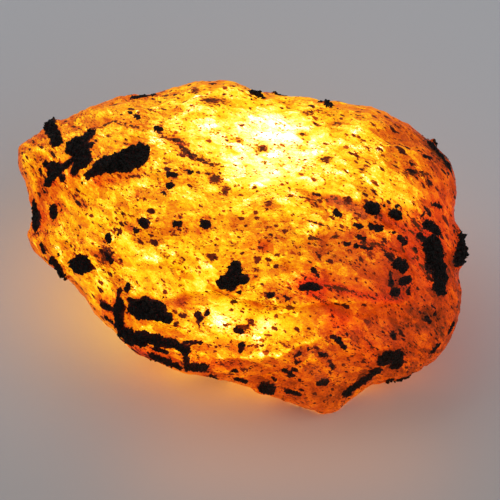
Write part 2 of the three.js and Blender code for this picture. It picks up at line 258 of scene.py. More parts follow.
# %% Crust strokes
# Each stroke: its width, how proud it stands, and its path as [across, up] points.
CRUST = [
    (1.8, 0.6, [[-21.9, 13.9], [-21.3, 12.9]]),
    (1.6, 0.4, [[-21.3, 12.9], [-20.6, 11.6]]),
    (2.5, 0.6, [[-18.5, 11.1], [-18.0, 10.4], [-17.7, 9.6]]),
    (1.2, 0.4, [[-18.3, 11.3], [-17.4, 11.9], [-16.7, 12.5]]),
    (0.9, 0.3, [[-17.4, 10.9], [-16.7, 11.0]]),
    (1.2, 0.4, [[-19.0, 9.2], [-20.2, 8.2], [-21.5, 7.0]]),
    (1.3, 0.3, [[-17.9, 9.4], [-18.5, 8.3]]),
    (1.1, 0.3, [[-16.9, 7.7], [-15.9, 8.3]]),
    (1.8, 0.5, [[-15.7, 8.5], [-14.9, 8.9]]),
    (2.2, 0.6, [[-14.4, 9.0], [-13.2, 9.5]]),
    (2.9, 0.7, [[-12.9, 9.3], [-11.4, 9.9]]),
    (0.9, 0.2, [[-8.0, 7.8], [-7.5, 7.7]]),
    (0.8, 0.2, [[-8.1, 6.6], [-7.8, 6.4]]),
    (0.7, 0.2, [[-6.0, 8.2], [-5.7, 8.0]]),
    (1.4, 0.3, [[-23.2, 4.6], [-23.0, 3.4], [-22.9, 2.2]]),
    (1.3, 0.3, [[-20.9, 4.0], [-20.8, 3.4]]),
    (1.1, 0.3, [[-22.2, -0.1], [-22.0, -0.5]]),
    (1.5, 0.5, [[-20.9, -1.7], [-20.3, -2.6], [-20.1, -3.2]]),
    (2.2, 0.5, [[-18.2, -2.4], [-17.4, -2.0]]),
    (0.8, 0.2, [[-14.7, 1.2], [-14.6, 0.7]]),
    (0.8, 0.2, [[-15.0, -0.8], [-14.3, -1.7]]),
    (1.2, 0.2, [[-10.9, 2.5], [-10.6, 2.3]]),
    (0.7, 0.2, [[-11.7, 1.8], [-11.5, 1.6]]),
    (0.9, 0.2, [[-7.3, 2.4], [-6.9, 2.4]]),
    (1.1, 0.2, [[-4.2, 2.5], [-3.9, 2.2]]),
    (1.8, 0.5, [[-0.8, -2.3], [-0.8, -2.4]]),
    (2.0, 0.5, [[-1.0, -3.4], [-0.9, -3.5]]),
    (1.2, 0.4, [[0.0, -3.5], [0.2, -3.6]]),
    (1.4, 0.4, [[-2.2, -3.9], [-2.1, -4.0]]),
    (1.3, 0.4, [[-1.4, -4.3], [-1.3, -4.4]]),
    (0.9, 0.2, [[-12.5, -4.4], [-12.6, -4.8]]),
    (0.8, 0.2, [[-13.3, -4.8], [-13.6, -5.3]]),
    (2.6, 0.7, [[-11.5, -7.0], [-10.6, -7.0]]),
    (2.7, 0.6, [[-10.6, -7.1], [-9.5, -7.1]]),
    (1.4, 0.3, [[-9.2, -7.4], [-8.1, -7.9]]),
    (0.8, 0.3, [[-11.7, -6.0], [-12.3, -5.8]]),
    (1.2, 0.3, [[-10.5, -5.9], [-10.1, -6.2]]),
    (1.5, 0.3, [[-13.4, -6.2], [-13.7, -7.4], [-13.6, -8.8]]),
    (1.1, 0.3, [[-15.4, -6.5], [-14.5, -6.9]]),
    (0.8, 0.2, [[-15.0, -7.9], [-14.5, -8.3]]),
    (2.7, 0.4, [[-12.9, -10.1], [-11.4, -10.2]]),
    (1.8, 0.4, [[-11.0, -9.9], [-9.2, -10.3]]),
    (1.4, 0.3, [[-9.2, -10.3], [-7.4, -10.9], [-6.3, -11.4]]),
    (0.7, 0.2, [[-6.2, -10.5], [-4.6, -10.5]]),
    (0.9, 0.3, [[-6.3, -11.4], [-6.2, -12.8]]),
    (1.4, 0.4, [[-5.9, -13.3], [-4.3, -13.4]]),
    (1.3, 0.3, [[-9.9, -12.1], [-8.9, -12.5]]),
    (1.3, 0.3, [[-8.2, -12.8], [-7.1, -13.2]]),
    (1.0, 0.2, [[-3.5, -14.3], [-2.9, -14.6]]),
    (0.9, 0.2, [[-4.8, -7.5], [-4.6, -7.9]]),
    (0.5, 0.1, [[-4.8, -8.2], [-4.7, -9.0]]),
    (0.9, 0.2, [[-0.6, -9.1], [-0.2, -9.3]]),
    (0.8, 0.2, [[-0.1, -10.8], [-0.2, -11.5]]),
    (0.8, 0.2, [[-1.0, -13.6], [-0.8, -13.8]]),
    (1.1, 0.2, [[-0.6, -14.7], [0.1, -14.9]]),
    (1.7, 0.5, [[2.3, -15.8], [2.9, -15.8]]),
    (0.7, 0.2, [[3.3, -14.6], [3.6, -14.8]]),
    (1.1, 0.2, [[5.0, -16.0], [6.0, -16.2]]),
    (1.0, 0.2, [[8.4, -15.1], [9.1, -15.0]]),
    (1.1, 0.3, [[6.6, -4.6], [7.2, -4.4], [7.8, -4.5]]),
    (0.9, 0.2, [[2.8, -5.3], [3.2, -5.2]]),
    (0.5, 0.1, [[4.6, -5.5], [5.1, -5.7]]),
    (0.6, 0.1, [[7.6, -2.6], [8.2, -3.2]]),
    (1.5, 0.5, [[13.9, 4.1], [14.5, 3.8]]),
    (1.5, 0.5, [[16.5, 3.4], [16.9, 3.3]]),
    (0.9, 0.2, [[10.0, 3.6], [10.5, 3.3]]),
    (0.8, 0.2, [[12.2, 2.3], [12.7, 2.1]]),
    (1.0, 0.2, [[13.9, 2.1], [14.9, 1.9]]),
    (0.5, 0.1, [[15.9, 1.6], [16.4, 1.4]]),
    (0.8, 0.2, [[17.0, 0.9], [17.6, 0.4]]),
    (0.7, 0.1, [[12.5, 1.0], [13.1, 0.8]]),
    (0.6, 0.1, [[10.6, 0.4], [11.5, 0.2]]),
    (0.6, 0.1, [[12.3, 0.0], [13.8, -0.3]]),
    (1.3, 0.3, [[20.1, 2.4], [21.4, 1.6]]),
    (2.7, 0.6, [[20.8, 0.0], [21.0, -1.2]]),
    (2.0, 0.5, [[21.4, -2.0], [21.8, -3.5], [21.6, -4.6]]),
    (1.5, 0.8, [[24.4, 1.1], [24.3, 0.2]]),
    (2.1, 0.8, [[24.1, -0.4], [23.8, -1.3]]),
    (1.6, 0.4, [[16.9, -2.0], [17.6, -2.2]]),
    (0.8, 0.2, [[15.6, -1.0], [16.1, -1.4]]),
    (1.1, 0.3, [[16.2, -5.1], [16.8, -5.0]]),
    (1.0, 0.2, [[17.4, -3.9], [18.1, -3.5]]),
    (0.7, 0.2, [[18.0, -4.7], [18.1, -5.2]]),
    (0.8, 0.3, [[20.2, -2.2], [20.4, -2.8]]),
    (0.9, 0.2, [[19.3, 1.1], [19.7, 0.8]]),
    (0.7, 0.2, [[18.9, -0.3], [19.1, -0.6]]),
    (0.8, 0.2, [[16.4, -9.6], [16.7, -10.0]]),
    (0.7, 0.2, [[21.1, 4.5], [21.9, 4.3]]),
    (0.8, 0.2, [[20.1, 9.9], [20.8, 9.7]]),
    (0.8, 0.2, [[18.0, 8.3], [18.8, 8.0]]),
    (0.7, 0.2, [[20.2, -8.0], [20.5, -8.4]]),
    (0.9, 0.2, [[9.8, -9.9], [10.4, -10.3], [11.0, -11.0]]),
    (0.6, 0.2, [[6.2, -11.7], [5.6, -11.9], [5.7, -12.6], [6.3, -12.7]]),
    (0.7, 0.2, [[8.5, -11.9], [9.1, -12.1]]),
    (0.7, 0.2, [[9.5, -12.7], [9.8, -13.3]]),
    (0.9, 0.2, [[4.6, -13.6], [5.3, -14.1]]),
    (1.9, 0.4, [[16.9, -12.1], [15.9, -12.0], [15.4, -12.6]]),
    (1.5, 0.3, [[17.0, -12.5], [16.8, -13.2]]),
    (1.3, 0.3, [[14.9, -13.6], [13.9, -14.5]]),
    (1.3, 0.3, [[13.9, -14.5], [12.4, -15.5], [11.4, -16.3]]),
    (0.7, 0.2, [[20.9, -11.7], [21.5, -11.0]]),
    (0.9, 0.2, [[22.9, -9.3], [23.2, -8.6]]),
    (1.2, 0.4, [[1.2, 17.0], [1.9, 16.8]]),
    (1.1, 0.2, [[-12.3, 16.6], [-10.1, 16.9]]),
    (0.8, 0.2, [[-11.9, 14.3], [-11.5, 14.1]]),
    (1.5, 0.3, [[21.0, 11.3], [22.0, 10.2]]),
    (1.3, 0.2, [[22.4, 9.6], [22.9, 8.8]]),
    (0.8, 0.2, [[-12.3, -11.6], [-11.4, -11.9]]),
    (0.7, 0.2, [[-10.6, -12.3], [-10.2, -12.6]]),
    (0.9, 0.2, [[-9.6, -11.3], [-8.4, -11.6]]),
    (0.6, 0.2, [[-13.6, -10.8], [-13.9, -10.2]]),
    (0.8, 0.2, [[-9.5, 12.9], [-9.1, 12.8]]),
    (0.7, 0.2, [[-7.5, 11.6], [-7.2, 11.5]]),
]
print(len(CRUST), "strokes of crust on the broad face")

# %% [markdown]
# ## Crust on the other sides
# The broad face's directions don't reach the back and the ends, so the clumps there are placed by
# angle, as places are on a globe. Each clump is five spots strewn at random, because one round spot
# would look like a button.

# %% Clumps on the other sides
# Each clump: degrees round from +X, degrees up from the ground, and its width.
FAR_CRUST = [
    (60, 8, 3.4), (76, 32, 2.6), (88, -14, 3.0), (101, 16, 3.8), (116, 16, 2.4), (126, -6, 2.6),
    (140, 6, 3.2), (156, -2, 2.8), (160, -26, 2.4), (172, 24, 2.2), (40, -20, 2.8), (26, 14, 2.6),
    (50, 38, 2.4), (-4, -32, 2.4), (-34, -24, 2.2), (200, -22, 2.4), (232, -30, 2.2),
]
FAR_PROUD = 0.4
FAR_SPOTS = 5
FAR_SPREAD = 1.5
FIRST_FAR_SEED = 1000


def far_seats(turn, rise, wide):
    """Seats strewn over a clump on a side turned from the broad face."""
    draws = np.random.default_rng(int(FIRST_FAR_SEED + turn + rise))
    strewn = draws.uniform(-FAR_SPREAD, FAR_SPREAD, (FAR_SPOTS, 2)) * wide
    spots = []
    for aside, above in strewn * (1.0, 0.6):
        turned = math.radians(turn + aside)
        raised = math.radians(rise + above)
        level = math.cos(raised)
        ray = Vector((math.cos(turned) * level, math.sin(turned) * level, math.sin(raised)))
        spots.append(skin_tree.ray_cast(MIDDLE + ray * FAR_OUT, -ray)[0])
    return np.array(spots)


clumps = [(wide, rise, seats_along(path)) for wide, rise, path in CRUST]
clumps += [(0.5 * wide, FAR_PROUD, far_seats(turn, rise, wide)) for turn, rise, wide in FAR_CRUST]
print(len(clumps), "clumps in all")

# %% [markdown]
# ## Blocks and frayed edges
# Mica breaks into small blocks, so the edge of a patch is a row of block corners and not a smooth
# line. Each skin point gets a number, in millimetres: how deep inside the crust's edge it lies.
# Voronoi cells give each point its block, and noise read at the block's middle lets the whole block
# in or leaves it out. Plain noise on the edge would look torn instead of broken.

# %% Lay the crust
CHUNK = 0.5
FRAY = 0.24
GRAIN_REACH = 0.08
CRUMB_SHARE = 0.64
NO_CRUST = -9.0


def chunks(points, size):
    """The middle of the block that each point belongs to, and how near it is to the block's edge."""
    middles = np.empty_like(points)
    edges = np.empty(len(points))
    for i, point in enumerate(points):
        gaps, places = noise.voronoi(Vector(point / size))
        middles[i] = places[0]
        edges[i] = gaps[1] - gaps[0]
    return middles * size, edges * size


crust = np.full(len(skin), NO_CRUST)
proud = np.zeros(len(skin))
for wide, rise, spots in clumps:
    near = np.flatnonzero(distance_to(spots, skin, wide + 1) < 0.5 * wide + 1.2)
    blocks, edges = chunks(skin[near], CHUNK)
    uneven = FRAY * (lumps(blocks, 1.7) + 0.6 * lumps(blocks, 0.5, 5.0)) * min(1.0, 0.5 * wide)
    rounded = 0.5 * (blocks + skin[near])
    inside = 0.5 * wide - GRAIN_REACH - distance_to(spots, rounded, 9.0) + uneven
    inside = np.where(inside > 0, np.minimum(inside, edges + 0.2), inside)
    height = rise * (0.75 + 0.9 * lumps(blocks, 0.7, 8.0)) * smoothstep(edges, -0.05, 0.3)
    proud[near] = np.maximum(proud[near], np.where(inside > 0, height, 0))
    crust[near] = np.maximum(crust[near], inside)

# Crumbs lie strewn round the big lumps.
crumb = lumps(skin, 0.75, 31.0) + 0.5 * lumps(skin, 2.2, 33.0)
around = (crust > -1.1) & (crust < -0.3)
crust = np.where(around, np.maximum(crust, 0.6 * (crumb - CRUMB_SHARE)), crust)
print("crust covers", round(100 * float((crust > 0).mean()), 1), "percent of the skin")

# %% [markdown]
# ## Ledges
# Where a layer broke off, the stone has a lip that rises slowly and drops at once. Sculpting by hand
# would give the same kind of lip, but a path and a height can be read and changed. The relief is
# only a number for each point here; the skin moves once all of it is added up.

# %% Ledges
# Each ledge: how far it drops, and its path.
LEDGES = [
    (0.35, [
        [-4.6, -3.6], [-2.7, -4.8], [-0.9, -5.4], [2.7, -6.3], [5.9, -6.4], [12.0, -6.0], [18.6, -6.3],
    ]),
    (0.30, [[8.2, 5.9], [12.0, 5.2], [16.4, 4.4]]),
    (0.25, [[-18.6, 6.6], [-14.0, 7.6], [-9.6, 9.2]]),
    (0.40, [[-4.8, -11.8], [2.5, -12.3], [4.9, -11.5], [9.7, -9.6]]),
    (0.40, [[-20.6, 1.6], [-19.4, 0.7], [-16.0, -2.1], [-13.6, -5.4]]),
    (0.20, [[-14.0, 4.2], [-12.4, 0.8], [-10.6, -1.6]]),
]


def beside(path, places):
    """Distance to a path on the broad face, and the side: positive to the right of its run."""
    far = np.full(len(places), NO_DISTANCE)
    side = np.zeros(len(places))
    for (x0, y0), (x1, y1) in zip(path, path[1:]):
        run = np.array([x1 - x0, y1 - y0])
        off = places[:, :2] - (x0, y0)
        part = np.clip(off @ run / (run @ run), 0, 1)
        gap = np.linalg.norm(off - part[:, None] * run, axis=1)
        nearer = gap < far
        far[nearer] = gap[nearer]
        side[nearer] = np.sign(off[:, 0] * run[1] - off[:, 1] * run[0])[nearer]
    ends = [np.hypot(places[:, 0] - x, places[:, 1] - y) for x, y in (path[0], path[-1])]
    return far * side, smoothstep(np.minimum(*ends), 0, 2.5)


in_front = smoothstep(skin_normals @ np.array(OUTWARD), 0.0, 0.4)
relief = np.zeros(len(skin))
for drop, path in LEDGES:
    away, fade = beside(path, face_places)
    away += 0.25 * lumps(skin, 1.5, 8.0)
    lip = smoothstep(away, -1.2, -0.1) - smoothstep(away, -0.1, 0.35) - 0.5 * smoothstep(away, 0.35, 0.5)
    lip += 0.5 * smoothstep(away, 0.5, 1.8)
    relief += 0.6 * drop * lip * fade * in_front
print("ledges stand", relief.max().round(2), "mm proud")

# %% [markdown]
# ## Steps, pits and swells
# Between the ledges the skin has the low steps of its thin layers, pits where grains fell out, fine
# folds, and three places where the rim swells. Steps come from rounding the height in the layers
# down, and the rest is noise of several sizes, stretched along the layers. All of it then moves the
# skin along its own normals, together with the mica's lumps.

# %% Carve the skin
STEP_HEIGHT = 0.07
STEP_SIZE = 1.5
PIT_DEPTH = 0.18
PIT_SIZE = 1.5
FOLD_HEIGHT = 0.24
CREASE_DEPTH = 0.20
ROUGH_HEIGHT = 0.08
# Each swell: [across, up], [reach across, up, in depth], its height.
SWELLS = [
    ([17.0, 14.0], [4.0, 2.5, 6.0], 0.45),
    ([-24.3, 7.0], [2.5, 5.0, 6.0], 0.40),
    ([8.0, -17.8], [6.0, 2.0, 5.0], 0.55),
]


def zone_share(centre, reach, points):
    """1 at the centre, falling off to nothing past the reach along the broad face's axes."""
    offset = ((points - np.array(centre)) @ FACE_AXES.T) / np.array(reach)
    return np.exp(-np.sum(offset**2, axis=1))


patchy = smoothstep(lumps(skin, 5.0, 21.0), -0.25, 0.35)
stairs = layers[:, 1] / STEP_SIZE + 0.9 * lumps(layers, 2.2, 1.0)
rise = stairs - np.floor(stairs)
relief += STEP_HEIGHT * patchy * (smoothstep(rise, 0.0, 0.75) - smoothstep(rise, 0.8, 1.0))
relief -= PIT_DEPTH * smoothstep(lumps(layers, PIT_SIZE, 11.0), 0.2, 0.6)
creases = np.abs(lumps(layers * (1.0, 1.3, 1.0), 1.9, 6.0))
relief += FOLD_HEIGHT * lumps(skin, 2.6, 15.0) - CREASE_DEPTH * creases
relief += ROUGH_HEIGHT * lumps(layers * (1.0, 1.2, 1.0), 0.7, 7.0)
for place, reach, height in SWELLS:
    relief += height * zone_share(seat(*place), reach, skin)

# The crust hides most of the relief under it, and the flat that the stone lies on stays flat.
relief = relief * (1 - 0.6 * smoothstep(crust, -0.3, 0.1)) + proud
carved = skin + skin_normals * relief[:, None]
carved[:, 2] = np.maximum(carved[:, 2], 0.0)
body.vertices.foreach_set("co", carved.ravel())
body.update()
print("relief from", relief.min().round(2), "to", relief.max().round(2), "mm")

# %% [markdown]
# ## The light in the stone
# A torch stands behind the lump, and its light comes out strongest where the stone between is
# thinnest and clearest. Tracing that through cloudy stone takes hours for each picture. Instead each
# point of the skin stores its depth: how much stone the light has come through, in the unit of
# Beer's law. Each zone makes the way shorter (clear, or near the torch) or longer (thick or cloudy).

# %% How much stone the light has come through
BODY_DEPTH = 0.76
# Each zone: name, [across, up], how deep under the skin, [reach across, up, in depth], added depth.
ZONES = [
    ("hot core", [3.7, 12.9], 1.5, [3.4, 2.8, 5.0], -0.30),
    ("hot tail", [1.9, 8.6], 1.0, [3.4, 2.4, 4.0], -0.18),
    ("pale left of the core", [-2.4, 12.4], 2.0, [4.6, 3.8, 5.0], -0.24),
    ("pale right of the core", [6.6, 11.0], 2.0, [4.6, 4.4, 5.0], -0.16),
    ("halo of the core", [3.0, 10.0], 3.0, [9.5, 7.0, 8.0], -0.36),
    ("lower pool", [-0.5, -8.0], 2.0, [6.5, 2.6, 5.0], -0.34),
    ("lower core left", [-2.4, -7.6], 1.0, [2.4, 1.8, 3.0], -0.30),
    ("lower core right", [2.8, -8.8], 1.0, [3.2, 1.6, 3.0], -0.40),
    ("lower left flank", [-17.0, -5.4], 2.0, [2.8, 4.0, 5.0], 0.34),
    ("upper right band", [17.2, 12.2], 1.0, [3.4, 1.8, 4.0], 0.36),
    ("right shoulder", [21.8, 9.4], 1.0, [1.8, 2.2, 4.0], 0.34),
    ("breast's left part", [5.2, 0.8], 1.0, [4.2, 2.0, 4.0], 0.26),
    ("below the red halo", [9.2, -4.9], 1.0, [3.0, 1.5, 3.0], 0.22),
    ("middle of the foot", [2.2, -13.0], 1.0, [2.2, 1.6, 3.0], 0.22),
    ("right of the breast", [17.7, 4.4], 1.0, [2.6, 2.0, 3.0], -0.85),
    ("lower left rim", [-11.2, -11.9], 1.0, [3.6, 1.2, 4.0], 0.50),
    ("top of the breast", [16.0, 1.2], 1.0, [7.0, 1.6, 4.0], -0.24),
    ("right of the breast, low", [19.3, -1.8], 1.0, [1.6, 2.4, 3.0], -0.24),
    ("brown cloud", [-6.6, -6.0], 0.3, [0.9, 0.8, 1.5], 0.5),
    ("between the right crusts", [21.7, 1.6], 1.0, [2.0, 2.2, 3.0], -0.45),
    ("pale tail", [2.2, 6.8], 1.0, [4.2, 2.2, 4.0], -0.20),
    ("pale brow", [-6.6, 13.0], 1.0, [3.4, 1.8, 4.0], -0.22),
    ("above the breast", [7.0, 4.0], 1.0, [4.4, 1.6, 4.0], -0.18),
    ("right of the pool", [7.5, -7.4], 1.0, [3.6, 1.6, 4.0], -0.22),
    ("middle", [-2.6, -1.8], 1.0, [4.4, 1.8, 4.0], -0.16),
    ("below the crusts", [-17.4, 3.2], 1.0, [3.2, 2.6, 4.0], -0.16),
    ("lower right streak", [13.6, -10.4], 1.0, [2.4, 2.8, 4.0], -0.36),
    ("left middle", [-14.6, 0.6], 1.0, [3.0, 1.8, 4.0], -0.20),
    ("left neck", [-21.0, 2.8], 1.0, [2.4, 1.8, 4.0], -0.26),
    ("right of the foot", [10.0, -12.4], 1.0, [4.0, 2.2, 4.0], -0.24),
    ("left belly", [-7.0, -2.6], 3.0, [6.0, 3.6, 6.0], -0.32),
    ("left brow", [-11.0, 14.0], 3.0, [8.0, 4.0, 6.0], -0.10),
    ("breast", [12.0, -0.6], 2.0, [8.0, 4.2, 5.0], 0.42),
    ("breast's right end", [17.0, -2.5], 2.0, [3.4, 4.0, 5.0], 0.26),
    ("right end", [25.0, -2.0], 2.0, [8.0, 17.0, 14.0], 0.80),
    ("upper right", [20.5, 11.0], 2.0, [5.5, 5.0, 8.0], 0.62),
    ("right cheek", [15.0, 7.5], 2.0, [4.5, 2.4, 6.0], -0.18),
    ("lower right", [16.5, -10.5], 2.0, [8.5, 6.5, 9.0], 0.66),
    ("foot", [8.0, -16.5], 2.0, [13.0, 4.0, 9.0], 0.60),
    ("left foot", [-8.0, -14.0], 1.0, [8.0, 2.6, 6.0], 0.12),
    ("left tip", [-25.0, 8.0], 2.0, [6.0, 10.0, 8.0], 0.50),
    ("upper left rim", [-14.0, 17.0], 1.0, [10.0, 2.4, 5.0], 0.25),
    ("lower left bulge", [-23.5, -0.5], 1.0, [2.6, 2.6, 4.0], 0.35),
    ("far underside", [4.0, -4.0], 24.0, [24.0, 14.0, 9.0], 0.20),
]

depth = np.full(len(skin), BODY_DEPTH)
for name, place, deep, reach, added in ZONES:
    depth += added * zone_share(seat(*place) - OUTWARD * deep, reach, skin)
print("zones make the depth", depth.min().round(2), "to", depth.max().round(2))

# %% [markdown]
# ## Steep sides and the underside
# Light has farther to come to a steep side, so the stone darkens towards its rim, and a little less
# so past it. Low down in front, under the broad face, the torch is near, and the skin there lights
# up the sheet it lies on. That part is brightest at the left and in the middle.

# %% Steep sides and the underside
RIM_DEPTH = 0.38
BACK_DEPTH = -0.15
UNDERSIDE_DEPTH = -0.75

turned_out = skin_normals @ np.array(OUTWARD)
facing_x, facing_y, facing_z = skin_normals.T
depth += RIM_DEPTH * (1 - smoothstep(turned_out, 0.05, 0.75))
depth += BACK_DEPTH * (1 - smoothstep(turned_out, -0.5, 0.0))
under = smoothstep(-turned_out, 0.0, 0.16) * smoothstep(-facing_z, -0.1, 0.45)
under *= 1 - 0.7 * smoothstep(facing_y, -0.1, 0.5)
under *= 1 - 0.3 * smoothstep(facing_x, 0.0, 0.7)
depth += UNDERSIDE_DEPTH * under
print("light has come through", depth.min().round(2), "to", depth.max().round(2))

# %% [markdown]
# ## Edges in the light
# Inner cracks and the big flat faces of the stone end the light along a line: it is darker on one
# side and brighter on the other, and both fade out over a few millimetres. They follow the ledges,
# but they are inside the stone, so carving alone would not show them.

# %% Edges in the light
# Each edge: [added depth on the right of its run, fading over mm], [the same on its left], path.
SHADE_EDGES = [
    ([0.30, 2.2], [-0.20, 3.0], [[-13.6, -5.4], [-16.0, -2.1], [-19.4, 0.7], [-20.6, 1.6]]),
    ([-0.16, 2.5], [0.20, 3.0], [[-14.4, 4.8], [-12.4, 0.8], [-10.6, -1.6]]),
    ([0.32, 0.9], [0.10, 3.0], [[-4.6, -3.6], [-2.7, -4.8], [-0.9, -5.4], [2.7, -6.3], [5.9, -6.4]]),
    ([0.30, 1.6], [0.20, 3.0], [[5.9, -6.4], [12.0, -6.0], [18.6, -6.3]]),
    ([0.40, 4.0], [-0.12, 1.5], [[-4.8, -11.8], [2.5, -12.3], [4.9, -11.5], [9.7, -9.6]]),
    ([-0.10, 2.0], [0.42, 2.6], [[11.6, -16.6], [13.8, -14.2], [18.0, -10.6]]),
    ([0.30, 2.2], [-0.15, 2.5], [[4.8, 6.2], [8.2, 5.9], [12.0, 5.2], [16.4, 4.4]]),
    ([0.22, 3.0], [-0.10, 2.0], [[12.0, 12.6], [16.0, 9.0], [18.8, 6.4], [21.2, 4.4]]),
    ([0.20, 2.4], [-0.12, 2.0], [[12.9, -8.6], [12.6, -10.8], [12.0, -13.2]]),
    ([0.22, 2.0], [-0.15, 2.4], [[-17.0, 15.2], [-12.0, 15.0], [-7.0, 14.2], [-3.0, 15.6]]),
]
for right, left, path in SHADE_EDGES:
    away, fade = beside(path, face_places)
    away += 0.5 * lumps(skin, 1.6, 8.0)
    for added, run in (right, left):
        depth += added * smoothstep(away, -0.12, 0.18) * np.exp(-np.abs(away) / run) * fade * in_front
        away = -away
print("light now spans", depth.min().round(2), "to", depth.max().round(2))

# %% [markdown]
# ## Hollows
# Hollows get painted shade: the material dims the stone's glow in them, and lips stay bright. A point
# lies in a hollow when the mean of its neighbours stands above it, so the mesh is smoothed once more
# and compared with itself.

# %% Measure the hollows
HOLLOW_ROUNDS = 10
WIDE_ROUNDS = 60


def spread(mesh, values, rounds):
    """Values averaged over neighbouring points, as many rounds as asked."""
    ends = np.empty(len(mesh.edges) * 2, dtype=np.int64)
    mesh.edges.foreach_get("vertices", ends)
    first, second = ends.reshape(-1, 2).T
    count = np.bincount(ends, minlength=len(mesh.vertices))[:, None]
    result = values.reshape(len(mesh.vertices), -1).astype(float)
    for _ in range(rounds):
        total = np.zeros_like(result)
        for column in range(result.shape[1]):
            total[:, column] += np.bincount(first, result[second, column], len(result))
            total[:, column] += np.bincount(second, result[first, column], len(result))
        result = total / count
    return result


carved_normals = normals_of(body)
hollow_shade = np.sum((spread(body, carved, HOLLOW_ROUNDS) - carved) * carved_normals, axis=1)
wide_hollow_shade = np.sum((spread(body, carved, WIDE_ROUNDS) - carved) * carved_normals, axis=1)
print("hollows to", hollow_shade.max().round(3), "mm; wide ones to", wide_hollow_shade.max().round(3), "mm")

# %% [markdown]
# ## Rust
# Rust shows as soft brown clouds under the skin, and whole parts of the stone's glow, the underside
# among them, are made redder. These are only colour, so they aren't carved: they are stored as numbers
# on the skin, for the material to read.

# %% Rust clouds and reddened parts
# Each cloud: [across, up], [half width, half height], added depth, added red.
CLOUDS = [
    ([-7.0, 11.4], [1.0, 0.6], 0.8, 0.3), ([-6.3, 10.5], [0.5, 0.6], 0.8, 0.4),
    ([-2.9, 7.2], [0.7, 0.5], 2.2, 0.5), ([-1.9, 6.0], [0.4, 0.6], 2.0, 0.4),
    ([-14.9, -1.0], [0.8, 1.2], 1.6, 0.4), ([-11.6, 5.4], [0.6, 0.5], 0.9, 0.6),
    ([-6.6, -6.0], [1.1, 0.9], 0.5, 0.3), ([6.9, -4.1], [1.2, 0.8], 0.5, 1.3),
    ([8.0, -5.4], [1.3, 0.6], 0.4, 0.7), ([2.1, 10.5], [0.8, 0.5], 1.3, 0.3),
    ([7.3, 14.7], [0.8, 0.4], 1.2, 0.2), ([10.4, 13.5], [0.8, 0.3], 1.3, 0.2),
    ([6.6, 12.3], [0.7, 0.3], 1.5, 0.2), ([9.0, 9.4], [0.7, 0.4], 1.9, 0.2),
    ([13.0, 8.3], [0.6, 0.4], 1.4, 0.2), ([2.7, 4.5], [0.7, 0.8], 1.3, 0.3),
    ([-16.0, 6.9], [0.9, 0.7], 0.6, 0.9), ([-14.2, 7.1], [0.7, 0.5], 0.5, 0.8),
    ([-20.9, 7.2], [0.5, 0.5], 0.8, 1.1), ([-18.9, 7.6], [0.5, 0.5], 0.5, 0.8),
    ([-22.5, 3.0], [0.8, 1.2], 0.5, 0.8), ([1.8, 0.0], [1.5, 0.9], 0.6, 0.7),
    ([16.2, 13.0], [2.6, 0.8], 0.5, 0.1), ([18.0, 8.0], [1.0, 0.5], 1.3, 0.1),
    ([20.0, 7.8], [1.0, 0.5], 1.3, 0.1), ([20.2, 1.3], [0.8, 1.0], 0.4, 0.9),
    ([17.0, -4.4], [1.4, 1.2], 0.5, 0.7), ([-3.2, -12.9], [2.6, 0.9], 0.5, 0.6),
    ([13.4, -11.6], [1.6, 1.3], 0.5, 0.4), ([18.5, -11.5], [1.8, 1.2], 0.7, 0.1),
    ([9.7, -8.2], [1.6, 1.0], 0.35, 0.4), ([12.4, 4.5], [3.2, 0.6], 0.4, 0.1),
    ([-11.0, -11.9], [3.2, 0.9], 0.7, 0.8), ([-12.6, 16.4], [2.0, 0.5], 0.6, 0.1),
    ([21.6, 10.2], [1.2, 1.6], 1.1, 0.2), ([7.3, -4.0], [1.8, 1.1], 0.1, 0.9),
    ([10.9, -8.4], [1.8, 1.2], 0.2, 0.9), ([-3.2, 16.0], [1.6, 0.5], 1.5, 0.4),
    ([-5.4, 17.2], [0.6, 0.3], 1.3, 0.3), ([-7.3, 15.0], [0.8, 0.5], 0.8, 0.6),
    ([-0.4, 11.5], [0.4, 0.3], 1.5, 0.4), ([-17.4, 4.5], [0.8, 0.4], 1.3, 0.2),
    ([-14.6, -6.9], [1.7, 1.3], 0.6, 0.6), ([0.0, -9.0], [0.9, 0.6], 1.4, 0.6),
    ([0.9, -8.2], [0.6, 0.5], 1.2, 0.5),
]
# Each reddened part: [across, up], [reach across, up], added red.
REDDENED = [
    ([22.5, -1.0], [5.5, 9.0], 0.70), ([22.0, 4.0], [3.0, 4.0], 0.35),
    ([14.5, -5.5], [5.0, 3.0], 0.45), ([17.0, -11.0], [5.0, 3.5], 0.30),
    ([8.0, -4.0], [3.0, 2.0], 0.30), ([-11.2, -11.9], [3.6, 1.2], 0.35),
    ([16.5, 0.0], [3.5, 3.5], 0.35), ([-21.5, 5.0], [2.5, 5.0], 0.20),
]
REDDENED_DEEP = 9.0
CLOUD_DEEP = 2.5
UNDERSIDE_RED = 0.3

red = UNDERSIDE_RED * under
for place, reach, added in REDDENED:
    red += added * zone_share(seat(*place), (*reach, REDDENED_DEEP), skin)
stain = np.zeros(len(skin))
for place, half_size, added, added_red in CLOUDS:
    share = zone_share(seat(*place), (*half_size, CLOUD_DEEP), carved)
    stain += added * share
    red += added_red * share
print("stains to", stain.max().round(2), "and red to", red.max().round(2))

# %% [markdown]
# ## Veins
# Thin dark veins of rust and mica dust run along cracks, each with a red blush beside it. They are
# paths on the broad face, as the ledges are. Noise bends them, because a crack is never a smooth arc.

